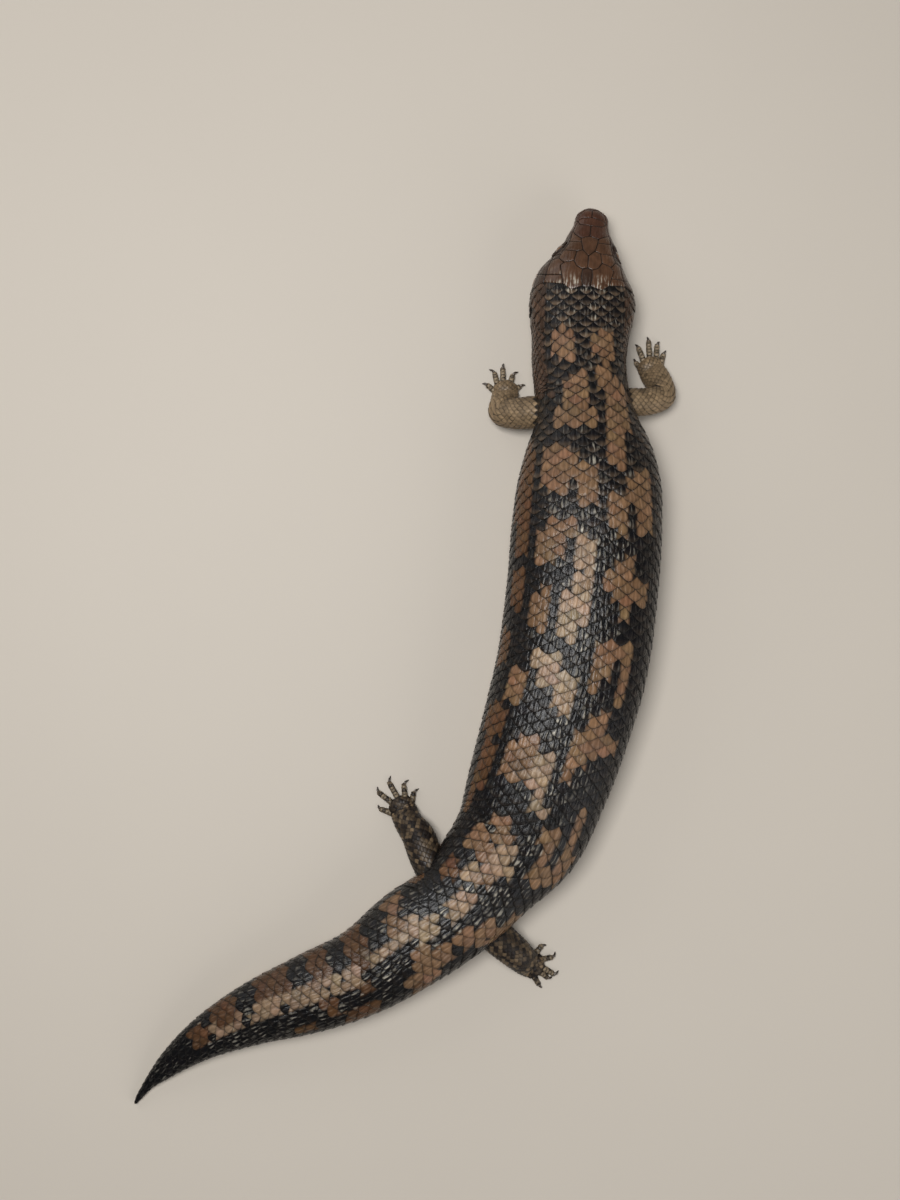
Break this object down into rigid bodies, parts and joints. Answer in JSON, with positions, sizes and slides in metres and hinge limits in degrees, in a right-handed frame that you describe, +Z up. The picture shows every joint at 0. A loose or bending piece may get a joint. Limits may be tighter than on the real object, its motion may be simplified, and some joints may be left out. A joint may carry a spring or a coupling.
{
  "type": "blue tongued skink",
  "caption": "Life-size still model of a blotched blue-tongued skink lying on its belly, body and tail in a gentle curve, short legs spread.",
  "frame": {"origin": "on the flat of the belly under the middle of the trunk, at floor level", "axes": "+Y forward, toward the head, +X toward the animal's right, +Z up from the floor"},
  "size_m": [0.2209, 0.3641, 0.0435],
  "materials": {
    "head_shields": "smooth, satin, brown horny shields",
    "eye": "wet gloss",
    "body_scales": "glossy overlapping scales, near black with brown blotches",
    "leg_skin": "satin small scales",
    "foot_skin": "satin small scales, horny claws"
  },
  "bodies": {
    "root": {"head": "head_shields", "eye_left": "eye", "eye_right": "eye", "neck": "body_scales", "torso_front": "body_scales", "torso_middle": "body_scales", "torso_rear": "body_scales", "hips": "body_scales", "tail_base": "body_scales", "tail_middle": "body_scales", "tail_tip": "body_scales", "foreleg_left": "leg_skin", "foreleg_right": "leg_skin", "hindleg_left": "leg_skin", "hindleg_right": "leg_skin", "forefoot_left": "foot_skin", "forefoot_right": "foot_skin", "hindfoot_left": "foot_skin", "hindfoot_right": "foot_skin"}
  },
  "joints": []
}
